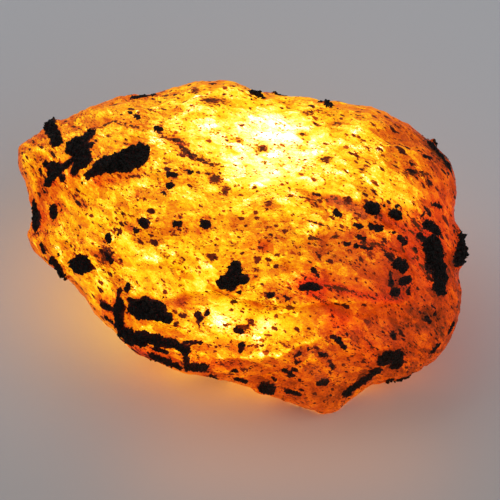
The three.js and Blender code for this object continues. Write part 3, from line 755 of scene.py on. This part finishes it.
# %% Veins
# Each vein: width, added depth, added red, path.
VEINS = [
    (0.34, 1.2, 0.4, [[-16.7, 13.0], [-15.6, 13.2], [-14.2, 13.8], [-13.3, 13.5], [-11.6, 13.0]]),
    (0.34, 1.0, 0.4, [[-9.4, 12.9], [-8.8, 11.9], [-7.4, 11.6], [-6.2, 10.2], [-5.1, 9.6], [-2.9, 8.6]]),
    (0.22, 1.4, 0.2, [[7.2, 0.9], [8.6, 0.8], [10.2, 1.0]]),
    (0.30, 1.0, 1.0, [[8.8, -4.3], [10.4, -4.6], [12.6, -5.3], [14.8, -5.8], [17.0, -5.6]]),
    (0.22, 1.0, 0.7, [[7.6, -5.4], [9.4, -6.6], [9.8, -7.4]]),
    (0.24, 1.0, 0.3, [[-4.4, -10.9], [-1.6, -11.0], [1.6, -10.8]]),
    (0.20, 0.9, 0.3, [[-2.7, -5.0], [0.4, -6.2], [2.6, -6.6]]),
    (0.22, 1.1, 0.3, [[-13.2, 7.4], [-11.2, 7.5], [-10.2, 7.7]]),
    (0.24, 0.9, 0.3, [[12.7, -9.2], [14.2, -11.2]]),
    (0.26, 1.0, 0.5, [[17.2, -0.2], [19.6, -2.2], [20.4, -4.2]]),
    (0.22, 1.0, 0.3, [[5.0, 5.4], [8.6, 4.9], [11.6, 5.3]]),
    (0.20, 1.1, 0.6, [[15.2, 3.0], [17.4, 1.9], [19.0, 1.2]]),
    (0.20, 1.1, 0.6, [[17.8, 0.9], [18.9, -0.6], [19.3, -2.0]]),
    (0.20, 1.1, 0.6, [[18.6, 2.9], [19.4, 1.7], [19.6, 0.3]]),
    (0.20, 1.1, 0.4, [[12.8, 0.4], [15.2, 0.1], [16.6, -0.5]]),
    (0.20, 1.0, 0.3, [[6.4, 2.9], [9.0, 2.2], [11.6, 1.4]]),
    (0.18, 0.9, 0.3, [[-20.0, 9.6], [-19.4, 6.2], [-17.6, 4.0]]),
]
BLUSH = 0.9

vein_red = np.zeros(len(skin))
vein = np.zeros(len(skin))
for wide, added, added_red, path in VEINS:
    gap = distance_to(seats_along(path, 0.15), carved, 3) + 0.12 * lumps(carved, 0.9, 2.0)
    share = 1 - smoothstep(gap, 0.3 * wide, 1.2 * wide)
    vein = np.maximum(vein, added * share)
    vein_red = np.maximum(vein_red, added_red * (1 - smoothstep(gap, 0, BLUSH)))
print("veins to", vein.max().round(2))

# %% [markdown]
# ## A facet with a painted reflection
# One small facet right of the middle has a painted reflection: a paler brown body colour stands for
# the room's light on it, and the glow under it gets painted shade. It is one more path on the skin,
# with streaks along the layers.

# %% Facet with a painted reflection
REFLECTING_FACET_PATH = [[9.7, 5.0], [11.3, 4.3], [13.0, 3.4]]
facet_gap = distance_to(seats_along(REFLECTING_FACET_PATH, 0.2), carved, 2) + 0.2 * lumps(carved, 0.8, 4.0)
streaks = lumps(layers * (0.5, 2.0, 1.0), 0.5, 3.0)
facet_reflection_and_shade = (1 - smoothstep(facet_gap, 0.45, 0.75)) * (0.7 + 0.6 * streaks)
print("glassy skin:", int((facet_reflection_and_shade > 0.5).sum()), "points")

# %% [markdown]
# ## Handing the numbers to the material
# Each number becomes a point attribute of the mesh, which a material reads by name. An image would
# be the usual way to carry such values, but it would need the skin to be unwrapped first.

# %% Attributes
TORCH_NEARER = 0.5


def give(mesh, name, values, kind="FLOAT"):
    layer = mesh.attributes.new(name, kind, "POINT")
    key = "value" if kind == "FLOAT" else "vector"
    layer.data.foreach_set(key, np.asarray(values, np.float32).ravel())


for name, values in {
    "depth": depth, "crust": crust, "hollow_shade": hollow_shade, "wide_hollow_shade": wide_hollow_shade, "stain": stain,
    "red": red + vein_red, "vein": vein, "facet_reflection_and_shade": facet_reflection_and_shade, "torch_side": TORCH_NEARER * under,
    "square_on": smoothstep(turned_out, 0.1, 0.6),
}.items():
    give(body, name, values)
give(body, "layers", layers, "FLOAT_VECTOR")
give(body, "body_normal", skin_normals, "FLOAT_VECTOR")
print("attributes:", [layer.name for layer in body.attributes if layer.domain == "POINT"])

# %% [markdown]
# ## Building materials in code
# A material is a tree of nodes. These helpers add one node, set its sockets and join it to the
# nodes before it in one line, so a recipe below reads from the raw pattern down to the shader. The
# same first helper serves the Geometry Nodes further on.

# %% Node helpers
def add_node(tree, kind, inputs=None, **settings):
    """Add a node. An input is a plain value, or another node's socket to join."""
    node = tree.nodes.new(kind)
    for key, value in settings.items():
        setattr(node, key, value)
    for key, value in (inputs or {}).items():
        if isinstance(value, bpy.types.NodeSocket):
            tree.links.new(value, node.inputs[key])
        else:
            node.inputs[key].default_value = value
    return node


class Recipe:
    """A material's node tree, with short ways to add to it."""

    def __init__(self, name):
        self.material = bpy.data.materials.new(name)
        self.material.use_nodes = True
        self.tree = self.material.node_tree
        self.tree.nodes.clear()

    def add(self, kind, inputs=None, **settings):
        return add_node(self.tree, kind, inputs, **settings)

    def millimetres(self):
        """Where each point lies on the object, in millimetres."""
        metres = self.add("ShaderNodeTexCoord").outputs["Object"]
        return self.stretched(metres, (1 / MM,) * 3)

    def math(self, operation, *values):
        return self.add("ShaderNodeMath", dict(enumerate(values)), operation=operation).outputs[0]

    def add_up(self, total, parts):
        """The total with each part added, times its share."""
        for share, part in parts:
            total = self.math("MULTIPLY_ADD", part, share, total)
        return total

    def vector(self, operation, *values):
        node = self.add("ShaderNodeVectorMath", dict(enumerate(values)), operation=operation)
        return node.outputs["Value" if operation == "DOT_PRODUCT" else "Vector"]

    def number(self, name):
        return self.add("ShaderNodeAttribute", attribute_name=name).outputs["Fac"]

    def triple(self, name):
        return self.add("ShaderNodeAttribute", attribute_name=name).outputs["Vector"]

    def ramp(self, value, low, high, to_low=0.0, to_high=1.0):
        inputs = {"Value": value, "From Min": low, "From Max": high, "To Min": to_low, "To Max": to_high}
        return self.add("ShaderNodeMapRange", inputs, interpolation_type="SMOOTHSTEP").outputs["Result"]

    def stretched(self, place, scale):
        return self.vector("MULTIPLY", place, scale)

    def noise(self, place, size, detail=2.0, rough=0.5, distortion=0.0):
        """Noise from about -1 to 1, with lumps of the given size."""
        inputs = {"Vector": place, "Scale": 1 / size, "Detail": detail, "Roughness": rough}
        inputs["Distortion"] = distortion
        raw = self.add("ShaderNodeTexNoise", inputs).outputs["Fac"]
        return self.math("MULTIPLY_ADD", raw, 4.0, -2.0)

    def mix(self, share, low, high):
        node = self.add("ShaderNodeMix", {0: share}, data_type="RGBA")
        for socket, value in ((node.inputs[6], low), (node.inputs[7], high)):
            if isinstance(value, bpy.types.NodeSocket):
                self.tree.links.new(value, socket)
            else:
                socket.default_value = (*value, 1.0)
        return node.outputs[2]

    def finish(self, shader, volume=None):
        """Join the shader to the tree's output, and anything inside the body too."""
        inputs = {"Surface": shader.outputs["BSDF"]}
        if volume:
            inputs["Volume"] = volume.outputs["Volume"]
        self.add("ShaderNodeOutputMaterial", inputs)
        print(self.material.name, "has", len(self.tree.nodes), "nodes")


# %% [markdown]
# ## Flecks
# The stone is full of tiny dark flecks, strewn along its layers. Voronoi cells are a cheap way to
# strew them: each cell holds one fleck, and the cell's random colour says how big it is, or that it
# has none. Cells stretched along the layers give flecks that lie in rows. Modelling each one would
# take a million faces.

# %% Fleck recipe
def flecks(recipe, place, cell, sizes, rarity, share, ragged, soft):
    """0 to 1 in the flecks. Cell is in millimetres; sizes, ragged and soft are in cells."""
    cells = recipe.stretched(place, tuple(1 / side for side in cell))
    inputs = {"Vector": cells, "Scale": 1.9, "Detail": 5.0, "Roughness": 0.66}
    wobble = recipe.add("ShaderNodeTexNoise", inputs).outputs["Color"]
    bent = recipe.vector("MULTIPLY_ADD", wobble, (ragged,) * 3, cells)
    cell_node = recipe.add("ShaderNodeTexVoronoi", {"Vector": bent, "Scale": 1.0, "Randomness": 1.0})
    chance = recipe.add("ShaderNodeSeparateColor", {"Color": cell_node.outputs["Color"]})
    there = recipe.math("LESS_THAN", chance.outputs["Red"], share)
    smallest, largest = sizes
    size = recipe.math("POWER", chance.outputs["Green"], rarity)
    size = recipe.math("MULTIPLY_ADD", size, largest - smallest, smallest)
    edge = recipe.math("SUBTRACT", size, cell_node.outputs["Distance"])
    black = recipe.math("MULTIPLY_ADD", chance.outputs["Blue"], 0.45, 0.55)
    return recipe.math("MULTIPLY", recipe.ramp(edge, 0.0, soft), recipe.math("MULTIPLY", there, black))


# %% [markdown]
# ## Sapphire: the fine skin
# The finish of the stone is built up over the next cells: a fine skin, dark flecks, rust, and
# cloudiness, which are added up into one depth of stone and turned into light at the end. First comes
# the relief that is finer than the mesh. It makes the shine uneven, and it tilts the skin towards or
# away from the torch, which is what draws small ledges in light.

# %% Sapphire: crust edge and fine relief
# The torch is only a point that the painted glow is turned towards; no lamp stands there.
TORCH = from_face(3.6, 13.0, -9.0)

sapphire = Recipe("amber_sapphire")
place = sapphire.millimetres()
grain = sapphire.triple("layers")

crust_number = sapphire.number("crust")
crust_edge = sapphire.math("MULTIPLY_ADD", sapphire.noise(place, 0.35, 3.0), 0.08, crust_number)
crust_mask = sapphire.ramp(crust_edge, -0.05, 0.05)

ripples = sapphire.noise(sapphire.stretched(grain, (1.0, 1.1, 1.0)), 1.1, 4.0, 0.6, 0.6)
chips = sapphire.noise(place, 0.32, 3.0, 0.65)
height = sapphire.math("MULTIPLY_ADD", chips, 0.4, ripples)
bump = sapphire.add("ShaderNodeBump", {"Height": height, "Strength": 0.6, "Distance": 0.12 * MM})
torch_ray = sapphire.vector("NORMALIZE", sapphire.vector("SUBTRACT", place, tuple(TORCH)))
tilt = sapphire.vector("SUBTRACT", bump.outputs["Normal"], sapphire.triple("body_normal"))
facing = sapphire.vector("DOT_PRODUCT", tilt, torch_ray)
print("torch at", [round(value, 1) for value in TORCH], "mm")

# %% [markdown]
# ## Sapphire: flecks
# Dark flecks run from half a millimetre down to dust. They crowd together in some places and leave
# others clean, so one wide noise sets how many cells have a fleck. Four sizes of cells give scraps,
# dots, pepper and the beads that line the veins; grit and threads are too fine for cells, and come
# from cutting noise off sharply.

# %% Sapphire: flecks
stain = sapphire.number("stain")
vein = sapphire.number("vein")
crowd = sapphire.noise(sapphire.stretched(grain, (0.5, 1.3, 0.7)), 3.0, 4.0, 0.65)
crowd = sapphire.math("MULTIPLY_ADD", vein, 2.0, sapphire.math("MULTIPLY_ADD", stain, 0.8, crowd))
scraps_share = sapphire.ramp(crowd, -1.0, 0.8, 0.5, 1.0)
scraps = flecks(sapphire, grain, (1.6, 1.15, 1.35), (0.08, 0.42), 2.6, scraps_share, 0.9, 0.12)
dots_share = sapphire.ramp(crowd, -0.9, 0.7, 0.40, 1.0)
dots = flecks(sapphire, grain, (0.9, 0.62, 0.8), (0.12, 0.46), 2.2, dots_share, 0.9, 0.12)
pepper_share = sapphire.ramp(crowd, -0.8, 0.9, 0.15, 1.0)
pepper = flecks(sapphire, grain, (0.42, 0.30, 0.36), (0.16, 0.48), 2.0, pepper_share, 0.8, 0.12)
grit_field = sapphire.noise(sapphire.stretched(grain, (0.9, 1.6, 1.1)), 0.5, 3.0, 0.65)
grit = sapphire.ramp(sapphire.math("MULTIPLY_ADD", crowd, 0.4, grit_field), 0.62, 0.80)
thread_field = sapphire.noise(sapphire.stretched(grain, (0.4, 1.5, 0.8)), 1.8, 4.0, 0.62, 0.5)
thread_part = sapphire.ramp(sapphire.noise(grain, 0.9, 4.0, 0.65), 0.05, 0.35)
thread_lines = sapphire.ramp(sapphire.math("ABSOLUTE", thread_field), 0.05, 0.01)
threads = sapphire.math("MULTIPLY", thread_lines, thread_part)
beads_share = sapphire.ramp(sapphire.math("MULTIPLY_ADD", stain, 0.5, vein), 0.25, 0.9)
beads = flecks(sapphire, grain, (0.62, 0.50, 0.56), (0.25, 0.62), 1.0, beads_share, 0.9, 0.1)
print("flecks make it", len(sapphire.tree.nodes), "nodes")

# %% [markdown]
# ## Sapphire: rust
# Rust is dust in cracks and never a flat patch of paint. So the placed clouds and veins, the small
# smudges that lie anywhere, and the halo beside the mica are all broken up by one grain of noise.

# %% Sapphire: rust
rust_grain = sapphire.noise(sapphire.stretched(grain, (0.9, 1.3, 1.0)), 0.42, 4.0, 0.68)
smudge_field = sapphire.noise(sapphire.stretched(grain, (0.8, 1.5, 1.0)), 1.5, 4.0, 0.65)
smudge_field = sapphire.math("MULTIPLY_ADD", crowd, 0.3, smudge_field)
smudges = sapphire.ramp(sapphire.math("MULTIPLY_ADD", rust_grain, 0.7, smudge_field), 0.6, 0.95)
cloud = sapphire.ramp(sapphire.math("MULTIPLY_ADD", rust_grain, 1.2, stain), 0.85, 1.2)
vein_grain = sapphire.ramp(sapphire.math("MULTIPLY_ADD", rust_grain, 1.4, vein), 1.15, 1.35)
beside_crust = sapphire.ramp(crust_number, -0.75, 0.0)
halo = sapphire.math("MULTIPLY", beside_crust, sapphire.ramp(rust_grain, -0.5, 0.7))
print("rust makes it", len(sapphire.tree.nodes), "nodes")

# %% [markdown]
# ## Sapphire: cloudiness
# The stone's body is uneven: wide veils, small wisps and sand, and inner breaks that each catch the
# light in their own way. All of these lengthen or shorten the light's way in proportion. Hollows get
# painted shade and lips painted light. On a steep skin the layers crowd into streaks, and thick stone
# blurs them, so the unevenness fades there.

# %% Sapphire: cloudiness
MEAN_UNEVENNESS = 0.77

veils = sapphire.noise(sapphire.stretched(grain, (0.7, 1.1, 0.8)), 3.0, 5.0, 0.6, 1.0)
wisps = sapphire.noise(sapphire.stretched(grain, (0.9, 1.15, 1.0)), 0.9, 4.0, 0.65, 0.8)
sand = sapphire.noise(place, 0.2, 2.0, 0.7)
face_cells = sapphire.stretched(grain, (0.5, 0.8, 0.6))
face_wobble = sapphire.add("ShaderNodeTexNoise", {"Vector": face_cells, "Scale": 1.5, "Detail": 3.0})
bent_cells = sapphire.vector("MULTIPLY_ADD", face_wobble.outputs["Color"], (0.7,) * 3, face_cells)
inner_faces = sapphire.add("ShaderNodeTexVoronoi", {"Vector": bent_cells, "Scale": 1.0})
face_tints = sapphire.add("ShaderNodeSeparateColor", {"Color": inner_faces.outputs["Color"]})
face_light = face_tints.outputs["Red"]

unevenness = sapphire.add_up(MEAN_UNEVENNESS, [
    (0.26, veils), (0.30, wisps), (0.18, sand), (0.56, face_light), (-0.9, facing),
    (1.3, sapphire.number("hollow_shade")), (0.3, sapphire.number("wide_hollow_shade")),
])
aslant_fade = sapphire.ramp(sapphire.number("square_on"), 0.0, 1.0, 0.5, 1.0)
thick_fade = sapphire.ramp(sapphire.number("depth"), 0.9, 1.7, 1.0, 0.55)
strength = sapphire.math("MULTIPLY", aslant_fade, thick_fade)
unevenness = sapphire.math("MULTIPLY_ADD", sapphire.math("SUBTRACT", unevenness, 1.0), strength, 1.0)
print("cloudiness makes it", len(sapphire.tree.nodes), "nodes")

# %% [markdown]
# ## Sapphire: the torch light
# The placed depth, the cloudiness, the flecks and the rust are added up into one depth of stone, and
# Beer's law turns it into light: through more stone blue dies first, then green, so the colour goes
# from white through yellow and orange to red-brown. The light comes out as emission, so the whole glow
# is painted light: no torch lamp stands in the scene. It is eased near white, as bright light is on
# film, and it has a limit, so that it can be stored in a picture.

# %% Sapphire: the torch light
TORCH_POWER = 3.0
ABSORBED = {"Red": 1.0, "Green": 2.2, "Blue": 9.5}
RED_FAILS_PAST = 1.9
CLEAR_DEPTH = 0.2
EASED_FROM = 0.6
EASING = 2.5
GLARE_FROM = {"Red": 1.2, "Green": 1.5, "Blue": 1.5}
GLARE_LIMIT = 1.2

thickness = sapphire.math("ADD", sapphire.number("depth"), CLEAR_DEPTH)
depth_sum = sapphire.math("MULTIPLY_ADD", thickness, unevenness, -CLEAR_DEPTH)
depth_sum = sapphire.add_up(depth_sum, [
    (1.4, pepper), (2.1, dots), (2.6, scraps), (1.7, grit), (1.6, threads), (0.9, smudges),
    (1.5, cloud), (0.25, stain), (1.8, vein_grain), (2.8, beads), (0.45, halo),
    # The facet's share adds painted shade to the glow under its painted reflection.
    (0.7, sapphire.number("facet_reflection_and_shade")), (6.0, crust_mask),
])
red_part = sapphire.add_up(sapphire.number("red"), [(0.25, smudges), (0.4, halo)])
past = sapphire.math("MAXIMUM", sapphire.math("SUBTRACT", depth_sum, RED_FAILS_PAST), 0.0)
torch_light = sapphire.math("ADD", sapphire.number("torch_side"), math.log(TORCH_POWER))
glow = sapphire.add("ShaderNodeCombineColor")
for channel, absorbed in ABSORBED.items():
    loss = sapphire.math("MULTIPLY", depth_sum, absorbed)
    loss = sapphire.math("ADD", loss, past if channel == "Red" else red_part)
    light = sapphire.math("EXPONENT", sapphire.math("SUBTRACT", torch_light, loss))
    above = sapphire.math("MAXIMUM", sapphire.math("SUBTRACT", light, EASED_FROM), 0.0)
    fading = sapphire.math("EXPONENT", sapphire.math("MULTIPLY", above, -EASING))
    eased = sapphire.math("MULTIPLY_ADD", fading, EASED_FROM - 1, 1 - EASED_FROM)
    eased = sapphire.math("ADD", eased, sapphire.math("MINIMUM", light, EASED_FROM))
    glare = sapphire.math("MAXIMUM", sapphire.math("SUBTRACT", light, GLARE_FROM[channel]), 0.0)
    glare = sapphire.math("MINIMUM", glare, GLARE_LIMIT)
    sapphire.tree.links.new(sapphire.math("ADD", glare, eased), glow.inputs[channel])
print("brightest light:", 1 + GLARE_LIMIT)

# %% [markdown]
# ## Sapphire: the shader
# The rest is plain: an amber body colour with a paler brown painted reflection on the one facet, black
# where mica or a fleck lies, a slightly uneven gloss, and corundum's own index of refraction. The
# stone is cloudy, so only a small share of the room's light goes through it, and what does is
# absorbed on the way.

# %% Sapphire: the shader
AMBER = (0.11, 0.038, 0.002)
PAINTED_REFLECTION_BROWN = (0.28, 0.10, 0.03)
FLECK_BLACK = (0.009, 0.004, 0.002)

dark = crust_mask
for part in (scraps, dots, pepper):
    dark = sapphire.math("MAXIMUM", dark, part)
# The facet's paler brown is a painted reflection of the room's light.
body_colour = sapphire.mix(sapphire.number("facet_reflection_and_shade"), AMBER, PAINTED_REFLECTION_BROWN)
body_colour = sapphire.mix(dark, body_colour, FLECK_BLACK)
roughness = sapphire.ramp(chips, -1.0, 1.0, 0.32, 0.55)
shader = sapphire.add("ShaderNodeBsdfPrincipled", {
    "Base Color": body_colour, "Roughness": roughness, "Normal": bump.outputs["Normal"],
    "IOR": 1.77, "Specular IOR Level": 0.02, "Transmission Weight": 0.15,
    "Emission Color": glow.outputs["Color"], "Emission Strength": 1.0,
})
inner = sapphire.add("ShaderNodeVolumeAbsorption", {"Color": (0.985, 0.55, 0.03, 1.0), "Density": 600.0})
sapphire.finish(shader, inner)

# %% [markdown]
# ## Mica
# Black mica is nearly black, with a dull sheen that changes from flake to flake. Noise the size of a
# few flakes varies the black and the roughness together, and a bump gives each grain a flaky face.

# %% Mica material
MICA_BLACK = (0.005, 0.0035, 0.0025)
MICA_GREY = (0.014, 0.012, 0.010)

mica = Recipe("black_mica")
mica_place = mica.millimetres()
flake = mica.noise(mica_place, 0.5, 2.0)
mica_colour = mica.mix(mica.ramp(flake, -1.0, 1.2), MICA_BLACK, MICA_GREY)
mica_bump = mica.add("ShaderNodeBump", {
    "Height": mica.noise(mica_place, 0.15, 2.0), "Strength": 0.4, "Distance": 0.05 * MM,
})
mica_shader = mica.add("ShaderNodeBsdfPrincipled", {
    "Base Color": mica_colour, "Roughness": mica.ramp(flake, -1.0, 1.0, 0.5, 0.8),
    "Normal": mica_bump.outputs["Normal"], "Specular IOR Level": 0.16,
})
mica.finish(mica_shader)

# %% [markdown]
# ## A tree that strews grains
# The crust is made of small six-sided plates and blocky chips of mica, packed at all angles. Geometry
# Nodes strew them over a skin, because thousands of alike pieces on a curved skin are just what it
# is good at. A grain has 12 or 20 triangles, so that the whole crust stays under 200,000.

# %% Grain tree
def mica_tree():
    """A tree that puts plates and chips on a mesh, as densely as its cover attribute says."""
    tree = bpy.data.node_groups.new("mica grains", "GeometryNodeTree")
    add = functools.partial(add_node, tree)
    face = tree.interface
    face.new_socket("Geometry", in_out="INPUT", socket_type="NodeSocketGeometry")
    for name in ("Grains per area", "Grain size"):
        face.new_socket(name, in_out="INPUT", socket_type="NodeSocketFloat")
    face.new_socket("Seed", in_out="INPUT", socket_type="NodeSocketInt")
    face.new_socket("Geometry", in_out="OUTPUT", socket_type="NodeSocketGeometry")

    def random_vector(low, high, seed):
        inputs = {0: low, 1: high, "Seed": seed}
        return add("FunctionNodeRandomValue", inputs, data_type="FLOAT_VECTOR").outputs[0]

    start = add("NodeGroupInput")
    cover = add("GeometryNodeInputNamedAttribute", {"Name": "cover"}, data_type="FLOAT")
    density = add("ShaderNodeMath", {
        0: cover.outputs["Attribute"], 1: start.outputs["Grains per area"],
    }, operation="MULTIPLY")
    points = add("GeometryNodeDistributePointsOnFaces", {
        "Mesh": start.outputs["Geometry"], "Density": density.outputs[0], "Seed": start.outputs["Seed"],
    })
    plate = add("GeometryNodeMeshCylinder", {"Vertices": 6, "Radius": 0.5, "Depth": 0.45})
    chip = add("GeometryNodeMeshCube", {"Size": (0.8, 0.8, 0.8)})
    kinds = add("GeometryNodeGeometryToInstance", {"Geometry": plate.outputs["Mesh"]})
    tree.links.new(chip.outputs["Mesh"], kinds.inputs["Geometry"])
    upright = add("FunctionNodeAlignRotationToVector", {"Vector": points.outputs["Normal"]}, axis="Z")
    turn = add("FunctionNodeEulerToRotation", {0: random_vector((-0.5, -0.5, 0), (0.5, 0.5, 6.3), 3)})
    turned = add("FunctionNodeRotateRotation", {
        "Rotation": upright.outputs[0], "Rotate By": turn.outputs[0],
    }, rotation_space="LOCAL")
    size = add("ShaderNodeVectorMath", {
        0: random_vector((0.5, 0.4, 0.3), (1.7, 1.3, 1.0), 5),
    }, operation="SCALE")
    tree.links.new(start.outputs["Grain size"], size.inputs["Scale"])
    placed = add("GeometryNodeInstanceOnPoints", {
        "Points": points.outputs["Points"], "Instance": kinds.outputs[0], "Pick Instance": True,
        "Rotation": turned.outputs[0], "Scale": size.outputs[0],
    })
    real = add("GeometryNodeRealizeInstances", {"Geometry": placed.outputs[0]})
    dressed = add("GeometryNodeSetMaterial", {"Geometry": real.outputs[0], "Material": mica.material})
    end = add("NodeGroupOutput")
    tree.links.new(dressed.outputs[0], end.inputs["Geometry"])
    return tree


# %% [markdown]
# ## Strewing the grains
# The skin stores how densely each point is covered: fully inside the crust, and thinly in a few
# stray places. The tree runs as a modifier on a copy of the skin, and its result is kept as a plain
# mesh. No grain lies on the flat underneath, or it would lift the stone.

# %% Strew the grains
GRAIN_SIZE = 0.2
GRAINS_PER_MM2 = 46.0
GRAIN_SEED = 7
STRAY_COVER = 0.15
BARE_BELOW = 0.4

stray = smoothstep(lumps(skin, 0.5, 13.0), 0.55, 0.75) * smoothstep(lumps(layers, 2.4, 14.0), 0.0, 0.5)
cover = np.maximum(smoothstep(crust, 0.08, 0.22), STRAY_COVER * stray)
cover *= carved[:, 2] > BARE_BELOW
give(body, "cover", cover)
bed = add_object("mica bed", body)
strewing = bed.modifiers.new("strew mica", "NODES")
strewing.node_group = mica_tree()
grain_sizes = {"Grains per area": GRAINS_PER_MM2, "Grain size": GRAIN_SIZE, "Seed": GRAIN_SEED}
for socket in strewing.node_group.interface.items_tree:
    if socket.name in grain_sizes:
        strewing[socket.identifier] = grain_sizes[socket.name]
grains = add_object("mica_crust", plain_mesh(bed, "mica_crust"))
bpy.data.objects.remove(bed)
grains.data.transform(Matrix.Scale(MM, 4))
print("mica:", sum(len(face.vertices) - 2 for face in grains.data.polygons), "triangles")

# %% [markdown]
# ## Finishing the stone
# The carved mesh goes back from millimetres to metres and gets its material.

# %% Finish the pieces
stone = add_object("sapphire_stone", body)
body.transform(Matrix.Scale(MM, 4))
body.shade_smooth()
body.materials.clear()
body.materials.append(sapphire.material)
grains.data.shade_flat()
print("stone:", sum(len(face.vertices) - 2 for face in body.polygons), "triangles")

# %% [markdown]
# ## Floor
# The stone lies on a plain pale sheet. Its colour has painted shade and glow: darker and warmer in
# front, for the stone's orange light and the shade in front of it, and paler and cooler behind. The
# sheet is a stage and no part of the stone. It lies a hair below the stone's flat, so that the two
# don't flicker through each other.

# %% Floor
FLOOR_HALF = 0.6
FLOOR_BELOW = 0.00002
PAPER_FRONT_SHADED_GLOW = (0.50, 0.465, 0.45)
PAPER_BACK = (0.60, 0.585, 0.60)

floor_mesh = bpy.data.meshes.new("floor")
corners = [
    (x * FLOOR_HALF, y * FLOOR_HALF, -FLOOR_BELOW) for x, y in [(-1, -1), (1, -1), (1, 1), (-1, 1)]
]
floor_mesh.from_pydata(corners, [], [(0, 1, 2, 3)])
floor = add_object("floor", floor_mesh)
paper = Recipe("pale_sheet")
paper_place = paper.add("ShaderNodeSeparateXYZ", {0: paper.add("ShaderNodeTexCoord").outputs["Object"]})
# Painted shade and glow: the sheet is darker and warmer towards the front.
paper_painted_light = paper.mix(
    paper.ramp(paper_place.outputs["Y"], -0.05, 0.03), PAPER_FRONT_SHADED_GLOW, PAPER_BACK)
paper_shader = paper.add("ShaderNodeBsdfPrincipled", {
    "Base Color": paper_painted_light, "Roughness": 0.8, "Specular IOR Level": 0.2,
})
paper.finish(paper_shader)
floor_mesh.materials.append(paper.material)

# %% [markdown]
# ## Light
# Soft, rather dim daylight comes from the room and from two windows, one behind at the left and one
# in front at the right, so that the stone's own glow shows. The stone's emission lights the sheet
# round it. A small orange lamp just over the sheet, in front of the stone, stands for more of the
# stone's light there, which leaves it low down and at a slant.

# %% Light
ROOM_COLOUR = (0.88, 0.95, 1.0, 1.0)
ROOM_STRENGTH = 0.28
DAYLIGHT = (0.95, 0.98, 1.0)
STONE_LIGHT = (1.0, 0.34, 0.02)

world = bpy.data.worlds.new("soft room")
world.use_nodes = True
background = world.node_tree.nodes["Background"]
background.inputs["Color"].default_value = ROOM_COLOUR
background.inputs["Strength"].default_value = ROOM_STRENGTH
bpy.context.scene.world = world

# Each lamp: name, place, what it points at, its width and height, watts, colour.
LAMPS = [
    ("back window", (-0.24, 0.36, 0.46), (0, 0, 0.01), (0.8, 0.6), 1.35, DAYLIGHT),
    ("side window", (0.38, -0.30, 0.34), (0, 0, 0.01), (0.8, 0.6), 1.0, DAYLIGHT),
    ("stone's light on the sheet", (0.005, -0.0215, 0.010), (0.005, -0.021, 0), (0.034, 0.010),
     0.0009, STONE_LIGHT),
]
for name, spot, aim, size, power, colour in LAMPS:
    lamp_data = bpy.data.lights.new(name, "AREA")
    lamp_data.shape = "RECTANGLE"
    lamp_data.size, lamp_data.size_y = size
    lamp_data.energy = power
    lamp_data.color = colour
    lamp = bpy.data.objects.new(name, lamp_data)
    lamp.location = spot
    lamp.rotation_euler = (Vector(aim) - lamp.location).to_track_quat("-Z", "Y").to_euler()
    bpy.context.scene.collection.objects.link(lamp)

bpy.context.scene.view_settings.view_transform = "Standard"
print("lamps:", ", ".join(lamp[0] for lamp in LAMPS))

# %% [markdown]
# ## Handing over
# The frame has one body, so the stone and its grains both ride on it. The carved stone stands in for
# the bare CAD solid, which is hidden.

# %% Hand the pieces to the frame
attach(stone, "root")
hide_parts("rough_sapphire")
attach(grains, "root")
